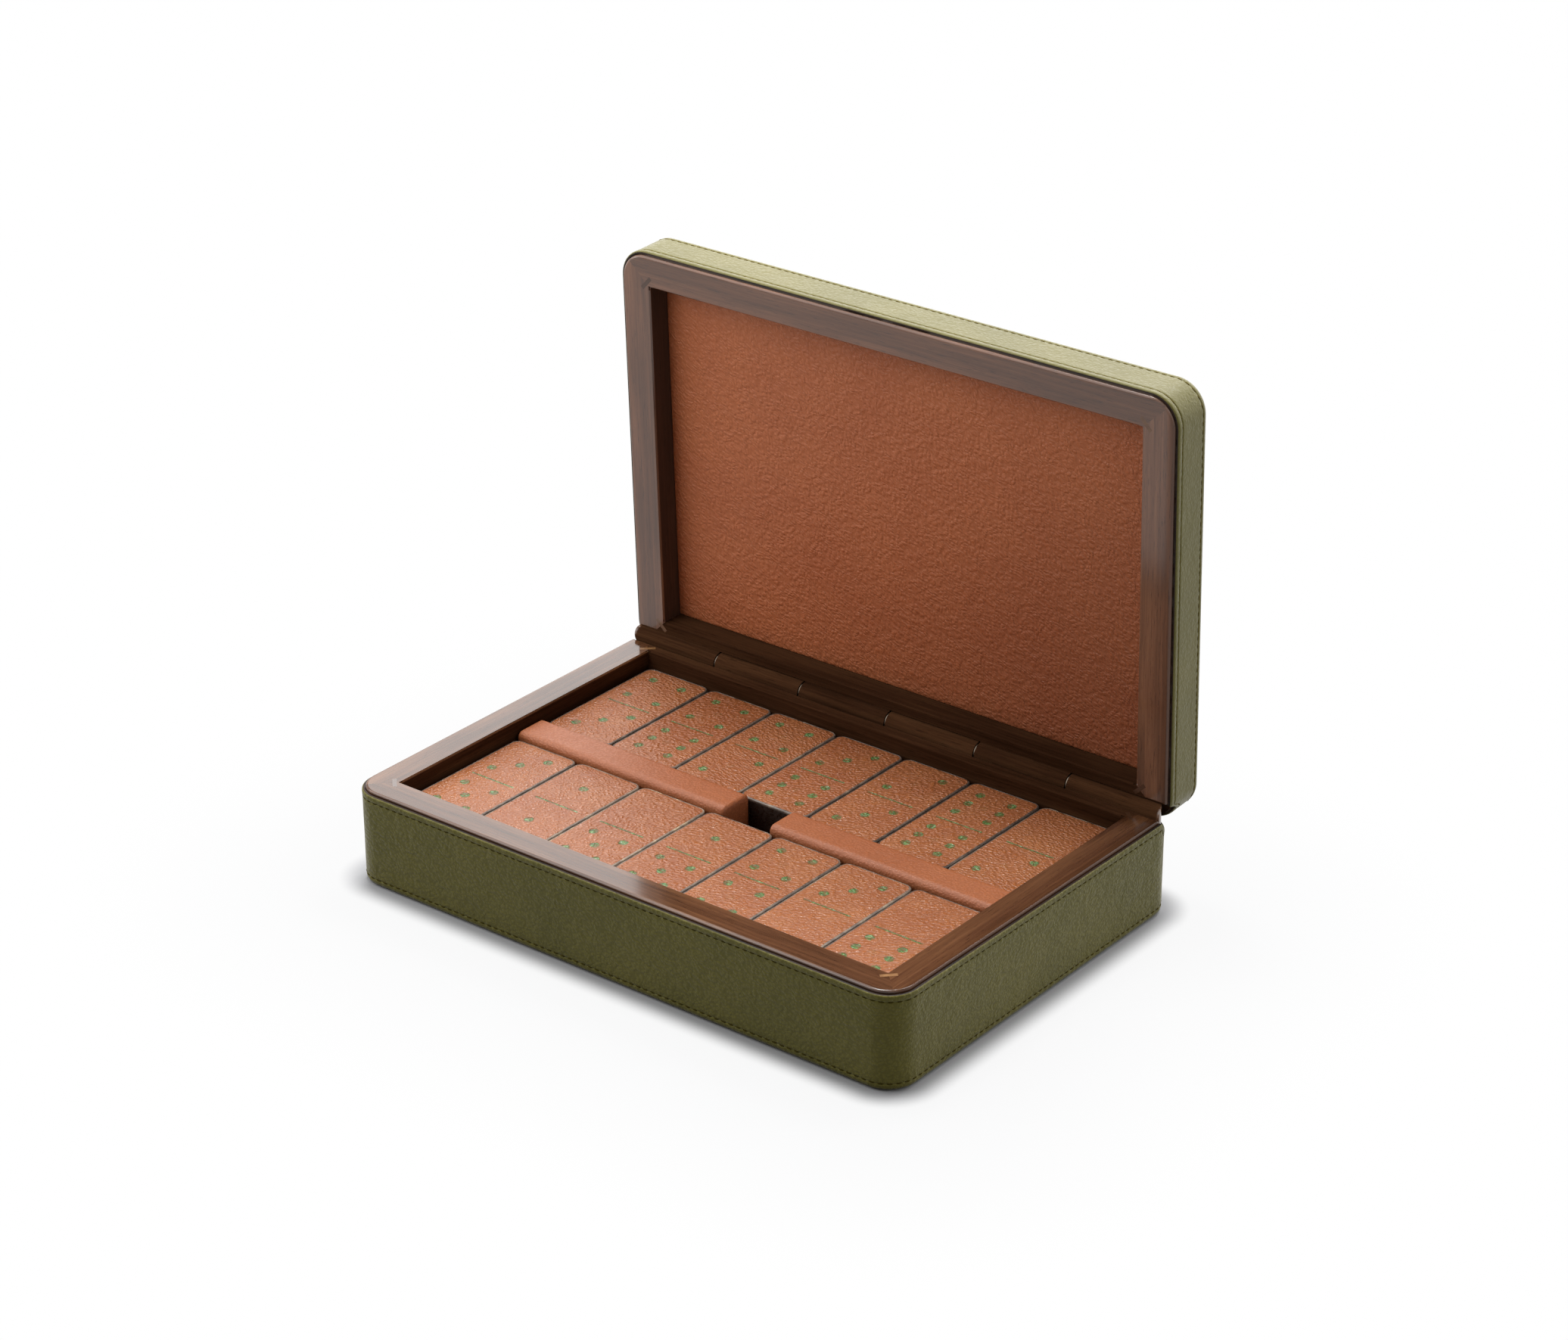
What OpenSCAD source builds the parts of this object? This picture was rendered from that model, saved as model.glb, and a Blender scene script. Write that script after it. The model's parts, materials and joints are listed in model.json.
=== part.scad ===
// Leather-covered wooden storage box for a double-six set of dominoes.
// The lid stands open behind the box on a wooden knuckle hinge. Two rows of
// tiles lie two deep in the well, on both sides of a divider in two bars.
// The origin is the centre of the bottom face, +Y runs to the hinge, +Z up.

/* [Dominoes] */
// Length of one tile
tile_l = 50; // [44:0.5:56]
// Width of one tile
tile_w = 25; // [22:0.5:28]
// Thickness of one tile
tile_t = 9.6; // [8:0.2:12]
// Radius of a tile's corners, seen from above
tile_corner_r = 2.8; // [1.5:0.1:4]
// Rounding of a tile's top and bottom edges
tile_edge_r = 0.5; // [0.2:0.1:1]
// Space between two tiles of a row
tile_gap = 0.4; // [0.2:0.1:1]
// Diameter of a pip
pip_d = 3.3; // [2.4:0.1:4]
// Distance of the pip columns from the middle of a tile
pip_column = 5.75; // [5:0.25:7]
// Step from one pip row to the next
pip_step = 6.3; // [5:0.1:6.6]
// Distance from the centre line to the nearest pip row
pip_first = 6; // [5:0.1:6.4]
// Length of the centre line of a tile
line_l = 16.8; // [10:0.2:19]
// Width of the centre line of a tile
line_w = 0.5; // [0.3:0.1:1]
// Depth of the pips and the centre line
mark_depth = 0.25; // [0.1:0.05:0.5]

/* [Well] */
// Clearance beside the tiles and the divider
play = 0.45; // [0.2:0.05:1]
// Free length left at the left end of each row
row_start = 1.2; // [0.2:0.2:3]
// Free length left at the right end of each row
row_play = 2.8; // [1:0.2:6]
// Clearance under each tile of a stack
stack_gap = 0.05; // [0.02:0.01:0.2]
// Depth of the upper tiles below the rim
tile_drop = 5.2; // [4:0.2:10]

/* [Frame] */
// Width of the front and side rails of the base
rail_w = 9.8; // [8:0.2:14]
// Width of the rear rail of the base
rear_rail_w = 11; // [10:0.2:16]
// Thickness of the bottom board
board_t = 4.3; // [3:0.1:8]
// Radius of the four outer corners, seen from above
corner_r = 8.5; // [5:0.5:9]
// Rounding of the wooden lip along its outer edge
lip_r = 0.8; // [0.3:0.1:1.2]
// Chamfer of the wooden lip along its inner edge
lip_chamfer = 0.4; // [0.2:0.1:0.8]

/* [Lid] */
// Thickness of the lid with its leather
lid_t = 15.8; // [14:0.2:20]
// Depth of the lined recess in the lid
lid_recess = 7.7; // [6:0.1:9]
// Width of the front rail of the lid
lid_rail_w = 9.8; // [8:0.2:14]
// Width of the side rails of the lid
lid_side_w = 10.6; // [8:0.2:14]
// Width of the rear rail of the lid
lid_rear_w = 10.8; // [10.6:0.2:14]
// Angle of the open lid from its closed position
lid_open = 88; // [0:2:90]

/* [Leather] */
// Thickness of the outer leather
leather_t = 1.2; // [0.8:0.1:1.6]
// Thickness of the lining leather
lining_t = 1.2; // [0.8:0.1:2]
// Height of bare wood between the mating face and the leather
lip_h = 1; // [0.8:0.1:2]
// Rounding of the covered outer edges
skin_r = 1; // [0.4:0.1:1.2]
// Depth of the step in the base leather at the hinge
base_notch = 4; // [3.8:0.1:6]
// Depth of the step in the lid leather at the hinge
lid_notch = 5; // [4.9:0.1:7]
// How far the steps reach forward from the rear face
notch_reach = 5.5; // [4:0.5:8]

/* [Divider] */
// Width of the divider bars
divider_w = 12.4; // [8:0.2:16]
// Height of the divider bars above the upper tiles
divider_rise = 1.9; // [0:0.1:4]
// Length of the finger gap between the two bars
finger_gap = 16.6; // [12:0.2:30]
// Rounding along the top edges of a bar
bar_r = 2.2; // [1:0.1:4]
// Rounding of the top edge at the ends of a bar
bar_end_r = 1; // [0.5:0.1:2]
// Thickness of the leather round a bar
wrap_t = 1; // [0.6:0.1:1.5]

/* [Hinge] */
// Radius of the wooden knuckles
knuckle_r = 3.5; // [3:0.1:4]
// Number of knuckles along the hinge
knuckles = 6; // [4:2:10]
// Space between two knuckles
knuckle_gap = 0.6; // [0.5:0.1:1]
// Clearance round a knuckle in the facing rail
cove_gap = 0.3; // [0.2:0.05:0.5]
// Radius of the hinge pin
pin_r = 0.8; // [0.6:0.1:1.2]
// Radial clearance of the pin in the lid's knuckles
pin_fit = 0.05; // [0.02:0.01:0.1]
// Depth of the pin's ends below the ends of the hinge
pin_inset = 3; // [1:0.5:6]
// Radius of the metal washers
washer_r = 3.2; // [2:0.1:3.4]
// Thickness of the metal washers
washer_t = 0.4; // [0.3:0.05:0.45]

/* [Splines] */
// Length of a corner spline across the mitre
spline_l = 5; // [3:0.2:5.2]
// Thickness of a corner spline
spline_w = 1.3; // [0.8:0.1:1.8]
// Depth of a corner spline below the mating face
spline_depth = 5; // [3:0.5:6]
// Distance of a spline from the inner corner
spline_inset = 1.7; // [1.5:0.1:1.8]

/* [Hidden] */
$fn = 48;
// Overlap of a cutting solid past the face it cuts
cut = 1;
row_count = 7;
row_l = row_count * tile_w + (row_count - 1) * tile_gap;
well_w = row_start + row_l + row_play;
well_d = 2 * tile_l + divider_w + 4 * play;
box_w = well_w + 2 * rail_w;
box_d = well_d + rail_w + rear_rail_w;
floor_z = leather_t + board_t + lining_t;
tile_top_z = floor_z + 2 * (stack_gap + tile_t);
base_h = tile_top_z + tile_drop;
well_front = -box_d / 2 + rail_w;
well_rear = box_d / 2 - rear_rail_w;
hinge_y = box_d / 2 - knuckle_r;
knuckle_pitch = box_w / knuckles;
lid_wood_t = lid_t - leather_t;
divider_h = tile_top_z + divider_rise - floor_z;
divider_y = well_front + 2 * play + tile_l + divider_w / 2;
bar_l = (well_w - finger_gap) / 2 - play;

// The upper tiles as the set lies, each as its rear and front half
REAR_ROW = [[4, 3], [4, 6], [4, 2], [3, 6], [2, 3], [6, 6], [0, 2]];
FRONT_ROW = [[3, 5], [1, 1], [0, 5], [1, 5], [4, 4], [3, 0], [0, 6]];
UPPER = concat(REAR_ROW, FRONT_ROW);
function same(p, q) = (p[0] == q[0] && p[1] == q[1]) || (p[0] == q[1] && p[1] == q[0]);
function is_upper(p) = len([for (q = UPPER) if (same(p, q)) 1]) > 0;
// The rest of the double-six set lies below
LOWER = [for (a = [0:6]) for (b = [a:6]) if (!is_upper([a, b])) [a, b]];
TILES = concat(UPPER, LOWER);
function tile_name(i) = str("tile_", min(TILES[i]), "_", max(TILES[i]));

WALNUT = "#5b3621";
DARK_WALNUT = "#3d2618";
MAPLE = "#c79a5f";
OLIVE = "#5f5b35";
TERRACOTTA = "#96532f";
TAN = "#b7694a";
STEEL = "#b9b7b2";

// Plan outline of the box, a rectangle with round corners
module outline(w, d, r) {
    square([w - 2 * r, d], center = true);
    square([w, d - 2 * r], center = true);
    for (sx = [-1, 1], sy = [-1, 1])
        translate([sx * (w / 2 - r), sy * (d / 2 - r)]) circle(r);
}

// Carries a profile round a rectangle with round corners. The profile is
// drawn with x measured outward from the corner centres and y upward.
module carried_round(w, d, r) {
    for (turn = [0, 1]) rotate(180 * turn) {
        translate([w / 2 - r, d / 2 - r]) rotate_extrude(angle = 90) children();
        translate([-w / 2 + r, d / 2 - r]) rotate(90) rotate_extrude(angle = 90) children();
        translate([w / 2 - r, 0])
            rotate([90, 0, 0]) linear_extrude(d - 2 * r, center = true) children();
        translate([0, d / 2 - r])
            rotate(90) rotate([90, 0, 0]) linear_extrude(w - 2 * r, center = true) children();
    }
}

// The corner left over between a square edge and its rounding, with the
// sharp edge at the origin and the material towards -X and -Y
module edge_waste(r) {
    difference() {
        translate([-r, -r]) square(r + cut);
        translate([-r, -r]) circle(r);
    }
}

// Puts the lid's pieces, drawn closed, at the lid's open angle
module opened() {
    translate([0, hinge_y, base_h]) rotate([-lid_open, 0, 0])
        translate([0, -hinge_y, -base_h]) children();
}

// A cylinder along the hinge axis from x0 to x1
module along_hinge(x0, x1, r) {
    translate([x0, hinge_y, base_h]) rotate([0, 90, 0]) cylinder(x1 - x0, r = r);
}

// Start and end of one knuckle; the outer ones run out to the box's sides
function knuckle_x0(i) = -box_w / 2 + i * knuckle_pitch + (i == 0 ? 0 : knuckle_gap / 2);
function knuckle_x1(i) =
    -box_w / 2 + (i + 1) * knuckle_pitch - (i == knuckles - 1 ? 0 : knuckle_gap / 2);

// Knuckles first, first + 2 and so on
module knuckle_row(first) {
    for (i = [first:2:knuckles - 1]) along_hinge(knuckle_x0(i), knuckle_x1(i), knuckle_r);
}

// The coves and gaps that the other leaf's knuckles turn in
module cove_row(first) {
    for (i = [first:2:knuckles - 1])
        along_hinge(knuckle_x0(i) - (i == 0 ? cut : knuckle_gap),
                    knuckle_x1(i) + (i == knuckles - 1 ? cut : knuckle_gap),
                    knuckle_r + cove_gap);
}

// The square rebate behind the hinge axis, up (side 1) or down (side -1)
module hinge_rebate(side) {
    z0 = side > 0 ? base_h - cut : base_h - knuckle_r;
    translate([-box_w / 2 - cut, hinge_y, z0])
        cube([box_w + 2 * cut, knuckle_r + cut, knuckle_r + cut]);
}

// A frame of rails with one leaf of the hinge: wood from z0 to z1 round a
// hollow, its lip at the mating face, and the knuckles first, first + 2, ...
module hinged_frame(z0, z1, side, left, right, front, rear, first) {
    inner_w = box_w - left - right;
    inner_d = box_d - front - rear;
    inner_x = (left - right) / 2;
    inner_y = (front - rear) / 2;
    intersection() {
        union() {
            difference() {
                translate([0, 0, z0]) linear_extrude(z1 - z0) outline(box_w, box_d, corner_r);
                translate([inner_x, inner_y, z0 - cut]) linear_extrude(z1 - z0 + 2 * cut)
                    square([inner_w, inner_d], center = true);
                translate([0, 0, base_h]) scale_z(-side) carried_round(box_w, box_d, corner_r)
                    translate([corner_r, 0]) edge_waste(lip_r);
                translate([inner_x, inner_y, base_h]) scale_z(-side)
                    inner_chamfer(inner_w, inner_d);
                hinge_rebate(side);
                cove_row(1 - first);
            }
            knuckle_row(first);
        }
        translate([0, 0, z0 - 2 * knuckle_r]) linear_extrude(z1 - z0 + 4 * knuckle_r)
            outline(box_w, box_d, corner_r);
    }
}

// Leaves its children as they are, or turns them upside down
module scale_z(side) {
    if (side > 0) children();
    else mirror([0, 0, 1]) children();
}

// Waste of the chamfer round the upper inner edge of a frame
module inner_chamfer(w, d) {
    for (turn = [0, 1]) rotate(180 * turn) {
        translate([w / 2, 0]) rotate([90, 0, 0]) linear_extrude(d + 2 * lip_chamfer, center = true)
            chamfer_waste();
        translate([0, d / 2]) rotate(90) rotate([90, 0, 0])
            linear_extrude(w + 2 * lip_chamfer, center = true) chamfer_waste();
    }
}

module chamfer_waste() {
    polygon([[-cut, -lip_chamfer], [0, -lip_chamfer], [lip_chamfer + cut, cut], [-cut, cut]]);
}

// The bore along the hinge that the pin passes through
module pin_bore(clearance) {
    along_hinge(-box_w / 2 - cut, box_w / 2 + cut, pin_r + clearance);
}

// Plan of one mitred rail, from the outer corners to the inner ones. At the
// hinge the rear rail runs out to both sides, so that no knuckle is split.
module rail_plan(side, left, right, front, rear) {
    outer = [[-box_w / 2, -box_d / 2], [box_w / 2, -box_d / 2],
             [box_w / 2, box_d / 2], [-box_w / 2, box_d / 2]];
    inner = [outer[0] + [left, front], outer[1] + [-right, front],
             outer[2] + [-right, -rear], outer[3] + [left, -rear]];
    next = (side + 1) % 4;
    if (side == 2) {
        polygon([outer[side], outer[next], inner[next], inner[side]]);
        hinge_strip();
    } else difference() {
        polygon([outer[side], outer[next], inner[next], inner[side]]);
        hinge_strip();
    }
}

// Plan of the strip along the hinge that holds the knuckles and coves
module hinge_strip() {
    front = hinge_y - knuckle_r - 2 * cove_gap;
    translate([-box_w / 2, front]) square([box_w, box_d / 2 - front]);
}

// Splines across the four mitres, let into the mating face
module corner_splines(side, left, right, front, rear) {
    for (sx = [-1, 1], sy = [-1, 1]) {
        reach = [sx < 0 ? left : right, sy < 0 ? front : rear];
        corner = [sx * (box_w / 2 - reach[0]), sy * (box_d / 2 - reach[1])];
        along = atan2(sy * reach[1], sx * reach[0]);
        translate([corner[0], corner[1], side > 0 ? base_h : base_h - spline_depth])
            rotate(along) translate([spline_inset - spline_w / 2, -spline_l / 2])
                cube([spline_w, spline_l, spline_depth]);
    }
}

module base_rail(side) {
    color(WALNUT) difference() {
        intersection() {
            hinged_frame(leather_t, base_h, -1, rail_w, rail_w, rail_w, rear_rail_w, 1);
            linear_extrude(base_h + 2 * knuckle_r)
                rail_plan(side, rail_w, rail_w, rail_w, rear_rail_w);
        }
        pin_bore(0);
        corner_splines(-1, rail_w, rail_w, rail_w, rear_rail_w);
    }
}

module lid_rail(side) {
    color(WALNUT) opened() difference() {
        intersection() {
            hinged_frame(base_h, base_h + lid_wood_t, 1,
                         lid_side_w, lid_side_w, lid_rail_w, lid_rear_w, 0);
            translate([0, 0, base_h - 2 * knuckle_r]) linear_extrude(lid_t + 2 * knuckle_r)
                rail_plan(side, lid_side_w, lid_side_w, lid_rail_w, lid_rear_w);
        }
        pin_bore(pin_fit);
        corner_splines(1, lid_side_w, lid_side_w, lid_rail_w, lid_rear_w);
    }
}

module base_front_rail() { base_rail(0); }
module base_right_rail() { base_rail(1); }
module base_rear_rail() { base_rail(2); }
module base_left_rail() { base_rail(3); }
module lid_front_rail() { lid_rail(0); }
module lid_right_rail() { lid_rail(1); }
module lid_rear_rail() { lid_rail(2); }
module lid_left_rail() { lid_rail(3); }

module base_corner_splines() {
    color(MAPLE) corner_splines(-1, rail_w, rail_w, rail_w, rear_rail_w);
}

module lid_corner_splines() {
    color(MAPLE) opened() corner_splines(1, lid_side_w, lid_side_w, lid_rail_w, lid_rear_w);
}

// A flat sheet that fills the hollow of a frame
module inlay(z, t, left, right, front, rear) {
    translate([(left - right) / 2, (front - rear) / 2, z + t / 2])
        cube([box_w - left - right, box_d - front - rear, t], center = true);
}

module base_bottom_board() {
    color(DARK_WALNUT) inlay(leather_t, board_t, rail_w, rail_w, rail_w, rear_rail_w);
}

module base_lining() {
    color(TERRACOTTA)
        inlay(leather_t + board_t, lining_t, rail_w, rail_w, rail_w, rear_rail_w);
}

module lid_lining() {
    color(TERRACOTTA) opened()
        inlay(base_h + lid_recess, lining_t, lid_side_w, lid_side_w, lid_rail_w, lid_rear_w);
}

module lid_top_board() {
    z = lid_recess + lining_t;
    color(DARK_WALNUT) opened()
        inlay(base_h + z, lid_wood_t - z, lid_side_w, lid_side_w, lid_rail_w, lid_rear_w);
}

// Side leather from a wooden lip's edge (lip_z) to a covered edge (far_z),
// stepped back by notch behind the notch's reach
module side_leather(lip_z, far_z, notch) {
    up = far_z > lip_z ? 1 : -1;
    low = min(lip_z, far_z);
    high = max(lip_z, far_z);
    difference() {
        carried_round(box_w, box_d, corner_r) difference() {
            translate([corner_r, low]) square([leather_t, high - low]);
            translate([corner_r + leather_t, far_z]) mirror([0, up > 0 ? 0 : 1])
                edge_waste(skin_r);
        }
        translate([-box_w, box_d / 2 - notch_reach, up > 0 ? base_h - cut : base_h - notch])
            cube([2 * box_w, box_d, notch + cut]);
    }
}

module base_side_leather() {
    color(OLIVE) side_leather(base_h - lip_h, 0, base_notch);
}

module lid_side_leather() {
    color(OLIVE) opened() side_leather(base_h + lip_h, base_h + lid_t, lid_notch);
}

module base_bottom_leather() {
    color(OLIVE) linear_extrude(leather_t) outline(box_w, box_d, corner_r);
}

module lid_top_leather() {
    color(OLIVE) opened() translate([0, 0, base_h + lid_wood_t])
        linear_extrude(leather_t) outline(box_w, box_d, corner_r);
}

// A bar of length l and width w with its top edges rounded
module bar(l, w, h, side_r, end_r) {
    intersection() {
        rotate([90, 0, 90]) linear_extrude(l, center = true) arched(w, h, side_r);
        rotate([90, 0, 0]) linear_extrude(w + cut, center = true) arched(l, h, end_r);
    }
}

// A rectangle standing on the x axis with its two upper corners rounded
module arched(w, h, r) {
    translate([-w / 2, 0]) square([w, h - r]);
    translate([-w / 2 + r, 0]) square([w - 2 * r, h]);
    for (s = [-1, 1]) translate([s * (w / 2 - r), h - r]) circle(r);
}

module divider_core(side) {
    color(DARK_WALNUT)
        translate([side * (finger_gap + bar_l) / 2, divider_y, floor_z])
            bar(bar_l - 2 * wrap_t, divider_w - 2 * wrap_t, divider_h - wrap_t,
                bar_r - wrap_t, bar_end_r / 2);
}

module divider_wrap(side) {
    color(TAN)
        translate([side * (finger_gap + bar_l) / 2, divider_y, floor_z])
            difference() {
                bar(bar_l, divider_w, divider_h, bar_r, bar_end_r);
                bar(bar_l - 2 * wrap_t, divider_w - 2 * wrap_t, divider_h - wrap_t,
                    bar_r - wrap_t, bar_end_r / 2);
            }
}

module divider_left_core() { divider_core(-1); }
module divider_left_wrap() { divider_wrap(-1); }
module divider_right_core() { divider_core(1); }
module divider_right_wrap() { divider_wrap(1); }

module hinge_pin() {
    color(STEEL) along_hinge(-box_w / 2 + pin_inset, box_w / 2 - pin_inset, pin_r);
}

// One washer in each space between two knuckles
module hinge_washers() {
    color(STEEL) for (i = [1:knuckles - 1]) {
        x = -box_w / 2 + i * knuckle_pitch;
        difference() {
            along_hinge(x - washer_t / 2, x + washer_t / 2, washer_r);
            along_hinge(x - cut, x + cut, pin_r);
        }
    }
}

// The tile's body, its foot at z = 0
module tile_body() {
    carried_round(tile_w, tile_l, tile_corner_r) {
        square([tile_corner_r - tile_edge_r, tile_t]);
        translate([0, tile_edge_r]) square([tile_corner_r, tile_t - 2 * tile_edge_r]);
        for (z = [tile_edge_r, tile_t - tile_edge_r])
            translate([tile_corner_r - tile_edge_r, z]) circle(tile_edge_r);
    }
    translate([0, 0, tile_t / 2])
        cube([tile_w - 2 * tile_corner_r, tile_l - 2 * tile_corner_r, tile_t], center = true);
}

// Places of the pips for 0 to 6, as column and row in steps from the middle
function pip_places(n) = concat(
    n % 2 == 1 ? [[0, 0]] : [],
    n >= 2 ? [[1, 1], [-1, -1]] : [],
    n >= 4 ? [[-1, 1], [1, -1]] : [],
    n == 6 ? [[-1, 0], [1, 0]] : []);

// Pips of one half, side 1 to the rear and -1 to the front
module pips(n, side) {
    for (p = pip_places(n))
        translate([p[0] * pip_column, side * (pip_first + pip_step) + p[1] * pip_step])
            cylinder(mark_depth + cut, d = pip_d, $fn = 12);
}

module domino(i) {
    in_row = i % row_count;
    rear = i % (2 * row_count) < row_count;
    level = i < len(UPPER) ? 1 : 0;
    x = -well_w / 2 + row_start + tile_w / 2 + in_row * (tile_w + tile_gap);
    y = rear ? well_rear - play - tile_l / 2 : well_front + play + tile_l / 2;
    z = floor_z + stack_gap + level * (tile_t + stack_gap);
    color(TAN) translate([x, y, z]) difference() {
        tile_body();
        translate([0, 0, tile_t - mark_depth]) {
            pips(TILES[i][0], 1);
            pips(TILES[i][1], -1);
            translate([-line_l / 2, -line_w / 2]) cube([line_l, line_w, mark_depth + cut]);
        }
    }
}

base_front_rail();
base_rear_rail();
base_left_rail();
base_right_rail();
base_corner_splines();
base_bottom_board();
base_lining();
base_side_leather();
base_bottom_leather();
divider_left_core();
divider_left_wrap();
divider_right_core();
divider_right_wrap();
hinge_pin();
hinge_washers();
lid_front_rail();
lid_rear_rail();
lid_left_rail();
lid_right_rail();
lid_corner_splines();
lid_top_board();
lid_lining();
lid_side_leather();
lid_top_leather();
for (i = [0:len(TILES) - 1]) domino(i);
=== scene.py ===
import json
import math
import random

import bpy
from mathutils import Matrix, Vector, noise

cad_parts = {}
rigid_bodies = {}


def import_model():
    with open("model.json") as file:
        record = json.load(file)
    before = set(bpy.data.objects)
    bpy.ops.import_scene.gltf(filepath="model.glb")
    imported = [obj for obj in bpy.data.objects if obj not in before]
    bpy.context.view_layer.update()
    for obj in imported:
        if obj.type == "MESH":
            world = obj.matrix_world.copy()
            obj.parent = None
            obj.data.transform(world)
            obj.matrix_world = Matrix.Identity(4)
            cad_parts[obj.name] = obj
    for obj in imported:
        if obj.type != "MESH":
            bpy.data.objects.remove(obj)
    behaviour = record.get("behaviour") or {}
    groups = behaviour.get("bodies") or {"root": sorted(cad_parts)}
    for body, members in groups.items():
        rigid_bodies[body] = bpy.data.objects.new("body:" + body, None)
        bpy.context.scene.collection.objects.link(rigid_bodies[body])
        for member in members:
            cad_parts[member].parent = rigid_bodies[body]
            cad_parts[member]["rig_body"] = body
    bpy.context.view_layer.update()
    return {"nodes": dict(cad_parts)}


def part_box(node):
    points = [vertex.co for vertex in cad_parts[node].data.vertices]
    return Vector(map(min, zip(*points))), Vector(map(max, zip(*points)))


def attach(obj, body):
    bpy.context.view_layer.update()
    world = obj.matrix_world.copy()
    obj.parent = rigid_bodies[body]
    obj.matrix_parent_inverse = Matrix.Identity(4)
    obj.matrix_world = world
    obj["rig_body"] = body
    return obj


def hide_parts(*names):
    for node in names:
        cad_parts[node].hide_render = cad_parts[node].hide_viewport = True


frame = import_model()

# ---------------------------------------------------------------- sizes
# Sizes of the CAD model, in millimetres, with the lid closed. The origin is
# the centre of the base's underside, and +Y points to the hinge.
BOX_W, BOX_D, CORNER_R = 201.0, 135.0, 8.5
BASE_H = 31.2
HINGE_Y = 64.0
LID_OPEN = 88.0
LID_T = 15.8
LID_FRONT_W, LID_SIDE_W, LID_REAR_W = 9.8, 10.6, 10.8
LIP_H = 1.0
NOTCH_Y = 62.0
BASE_NOTCH, LID_NOTCH = 4.0, 5.0
FLOOR_Z, LINING = 6.7, 1.2
LID_RECESS = 7.7
TILE_W, TILE_L, TILE_T = 25.0, 50.0, 9.6
TILE_R, TILE_EDGE = 2.8, 0.5
PIP_COLUMN, PIP_STEP, PIP_FIRST = 5.75, 6.3, 6.0
PIP_D, LINE_L = 3.3, 16.8
ROW_LENGTH = 7
TILE_X0, TILE_PITCH = -77.0, 25.4
TILE_Y = {"rear": 31.05, "front": -32.25}
TILE_Z = {"low": 6.75, "high": 16.4}
BAR_L, BAR_W, BAR_TOP, BAR_Y, BAR_X = 81.95, 12.4, 27.9, -0.6, 49.275
# How far in front of HINGE_Y the barrels' wood begins, on rails along x and y
BARREL_REACH = {"x": 8.0, "y": 4.1}
MM = 0.001

# The upper dominoes from left to right: the number at the rear, then in front.
REAR_ROW = [(4, 3), (4, 6), (4, 2), (3, 6), (2, 3), (6, 6), (0, 2)]
FRONT_ROW = [(3, 5), (1, 1), (0, 5), (1, 5), (4, 4), (3, 0), (0, 6)]


# ---------------------------------------------------------------- mesh code
def swung(p):
    """A point of the closed lid, where it lies with the lid open."""
    t = math.radians(-LID_OPEN)
    y, z = p[1] - HINGE_Y, p[2] - BASE_H
    return (p[0], HINGE_Y + y * math.cos(t) - z * math.sin(t),
            BASE_H + y * math.sin(t) + z * math.cos(t))


def piece(name, verts, faces, mats, body, replaces=(), face_mats=None, lid=False,
          attributes=None):
    """A mesh piece from millimetre vertices, riding on a body."""
    if lid:
        verts = [swung(v) for v in verts]
    mesh = bpy.data.meshes.new(name)
    mesh.from_pydata([(x * MM, y * MM, z * MM) for x, y, z in verts], [], faces)
    for m in mats:
        mesh.materials.append(m)
    if face_mats:
        mesh.polygons.foreach_set("material_index", face_mats)
    for key, values in (attributes or {}).items():
        a = mesh.attributes.new(key, "FLOAT_VECTOR", "POINT")
        a.data.foreach_set("vector", [c for v in values for c in v])
    mesh.shade_smooth()
    mesh.validate()
    mesh.update()
    obj = bpy.data.objects.new(name, mesh)
    bpy.context.scene.collection.objects.link(obj)
    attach(obj, body)
    if replaces:
        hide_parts(*replaces)
    return obj


def round_path(w, d, r, step, arc):
    """Points round a rectangle with round corners: centre, outward normal."""
    cx, cy = w / 2 - r, d / 2 - r
    out = []
    corners = [(cx, -cy, -90), (cx, cy, 0), (-cx, cy, 90), (-cx, -cy, 180)]
    for k in range(4):
        x, y, a0 = corners[k]
        for j in range(arc):
            a = math.radians(a0 + 90 * j / arc)
            out.append(((x, y), (math.cos(a), math.sin(a))))
        nx, ny, _ = corners[(k + 1) % 4]
        a = math.radians(a0 + 90)
        normal = (math.cos(a), math.sin(a))
        n = max(1, round(math.hypot(nx - x, ny - y) / step))
        for j in range(n):
            t = j / n
            out.append(((x + (nx - x) * t, y + (ny - y) * t), normal))
    return out


def at(p, r, o):
    """The point of a path entry, o outward of the outline of corner radius r."""
    (cx, cy), (nx, ny) = p
    return cx + nx * (r + o), cy + ny * (r + o)


def rings_to_faces(n_rings, n, start=0):
    """Quads between successive closed rings of n points each."""
    out = []
    for i in range(n_rings - 1):
        a, b = start + i * n, start + (i + 1) * n
        for j in range(n):
            k = (j + 1) % n
            out.append((a + j, a + k, b + k, b + j))
    return out


def smooth(t):
    """0 up to t = 0 and 1 from t = 1, with a soft step between."""
    t = min(1.0, max(0.0, t))
    return t * t * (3 - 2 * t)


def bump_at(x, centre, width):
    """A soft hump of height 1 at centre."""
    return math.exp(-((x - centre) / width) ** 2)


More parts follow.
